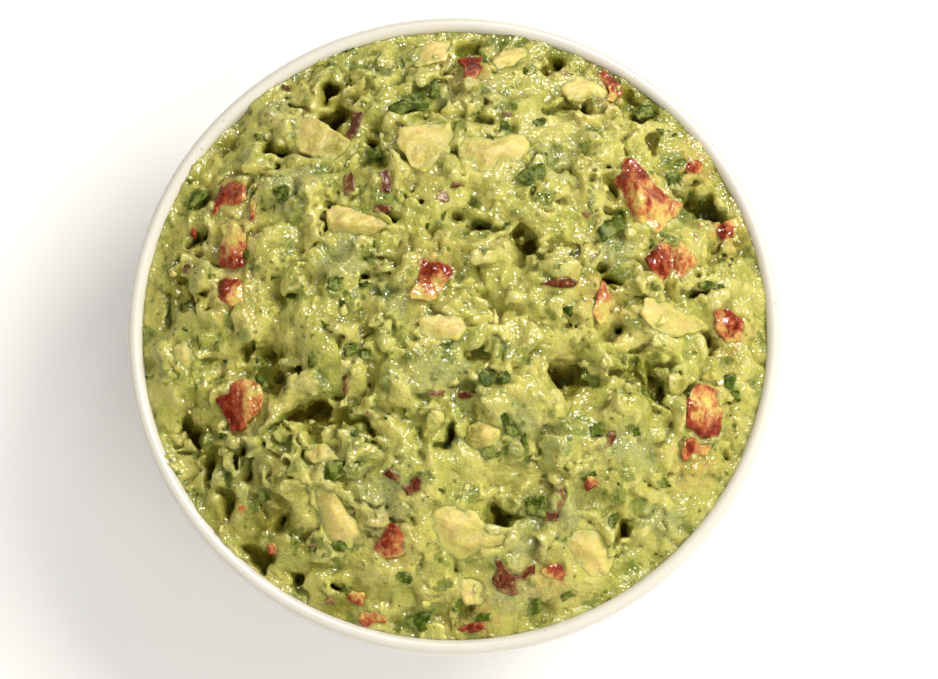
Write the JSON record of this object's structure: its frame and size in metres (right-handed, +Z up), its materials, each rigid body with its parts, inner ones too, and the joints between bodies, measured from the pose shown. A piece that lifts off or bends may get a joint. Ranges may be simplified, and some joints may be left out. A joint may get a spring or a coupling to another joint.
{
  "type": "guacamole",
  "caption": "Chunky guacamole with avocado and tomato pieces, heaped in a plain round glazed bowl on a foot ring.",
  "frame": {"origin": "middle of the bowl's foot ring, on the surface that the bowl stands on", "axes": "+Z up along the bowl's axis, -Y towards the viewer, +X to the viewer's right"},
  "size_m": [0.131, 0.131, 0.0692],
  "materials": {
    "stoneware": "plain off-white glaze",
    "mash": "moist crushed avocado",
    "avocado": "moist cut avocado flesh",
    "tomato": "wet cut tomato"
  },
  "bodies": {
    "root": {"bowl": "stoneware", "guacamole": "mash", "avocado_chunk_01": "avocado", "avocado_chunk_02": "avocado", "avocado_chunk_03": "avocado", "avocado_chunk_04": "avocado", "avocado_chunk_05": "avocado", "avocado_chunk_06": "avocado", "avocado_chunk_07": "avocado", "avocado_chunk_08": "avocado", "avocado_chunk_09": "avocado", "avocado_chunk_10": "avocado", "avocado_chunk_11": "avocado", "avocado_chunk_12": "avocado", "avocado_chunk_13": "avocado", "avocado_chunk_14": "avocado", "avocado_chunk_15": "avocado", "avocado_chunk_16": "avocado", "tomato_dice_01": "tomato", "tomato_dice_02": "tomato", "tomato_dice_03": "tomato", "tomato_dice_04": "tomato", "tomato_dice_05": "tomato", "tomato_dice_06": "tomato", "tomato_dice_07": "tomato", "tomato_dice_08": "tomato", "tomato_dice_09": "tomato", "tomato_dice_10": "tomato", "tomato_dice_11": "tomato", "tomato_dice_12": "tomato", "tomato_dice_13": "tomato", "tomato_dice_14": "tomato", "tomato_dice_15": "tomato", "tomato_dice_16": "tomato", "tomato_dice_17": "tomato", "tomato_dice_18": "tomato"}
  },
  "joints": []
}
